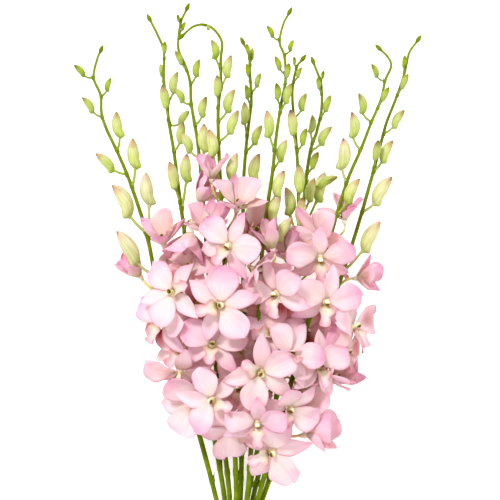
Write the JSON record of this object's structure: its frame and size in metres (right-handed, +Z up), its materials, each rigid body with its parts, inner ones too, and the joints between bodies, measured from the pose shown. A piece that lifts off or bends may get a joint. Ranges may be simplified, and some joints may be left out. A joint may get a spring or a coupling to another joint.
{
  "type": "dendrobium orchid bunch",
  "caption": "Cut bunch of pale pink dendrobium orchid sprays with green buds and long bare stems, lying on its side and held by an elastic band.",
  "frame": {"origin": "middle of the bounding box's bottom face: the table is z = 0", "axes": "+Y from the cut ends to the tips, +Z up from the table, +X across the bunch"},
  "size_m": [0.2974, 0.5286, 0.1251],
  "materials": {
    "stem": "satin green plant skin",
    "petal": "matte petal",
    "band": "matte"
  },
  "bodies": {
    "root": {"spray_a": "stem", "spray_b": "stem", "spray_c": "stem", "spray_d": "stem", "spray_e": "stem", "spray_f": "stem", "spray_g": "stem", "spray_h": "stem", "spray_i": "stem", "spray_j": "stem", "bloom_01": "petal", "bloom_02": "petal", "bloom_03": "petal", "bloom_04": "petal", "bloom_05": "petal", "bloom_06": "petal", "bloom_07": "petal", "bloom_08": "petal", "bloom_09": "petal", "bloom_10": "petal", "bloom_11": "petal", "bloom_12": "petal", "bloom_13": "petal", "bloom_14": "petal", "bloom_15": "petal", "bloom_16": "petal", "bloom_17": "petal", "bloom_18": "petal", "bloom_19": "petal", "bloom_20": "petal", "bloom_21": "petal", "bloom_22": "petal", "bloom_23": "petal", "bloom_24": "petal", "bloom_25": "petal", "bloom_26": "petal", "bloom_27": "petal", "bloom_28": "petal", "bloom_29": "petal", "bloom_30": "petal", "bloom_31": "petal", "bloom_32": "petal", "bloom_33": "petal", "bloom_34": "petal", "bloom_35": "petal", "bloom_36": "petal", "bloom_37": "petal", "bloom_38": "petal", "bloom_39": "petal", "bloom_40": "petal", "bloom_41": "petal", "bloom_42": "petal", "bloom_43": "petal", "bloom_44": "petal", "bloom_45": "petal", "bloom_46": "petal", "bloom_47": "petal", "bloom_48": "petal", "bloom_49": "petal", "band": "band"}
  },
  "joints": []
}
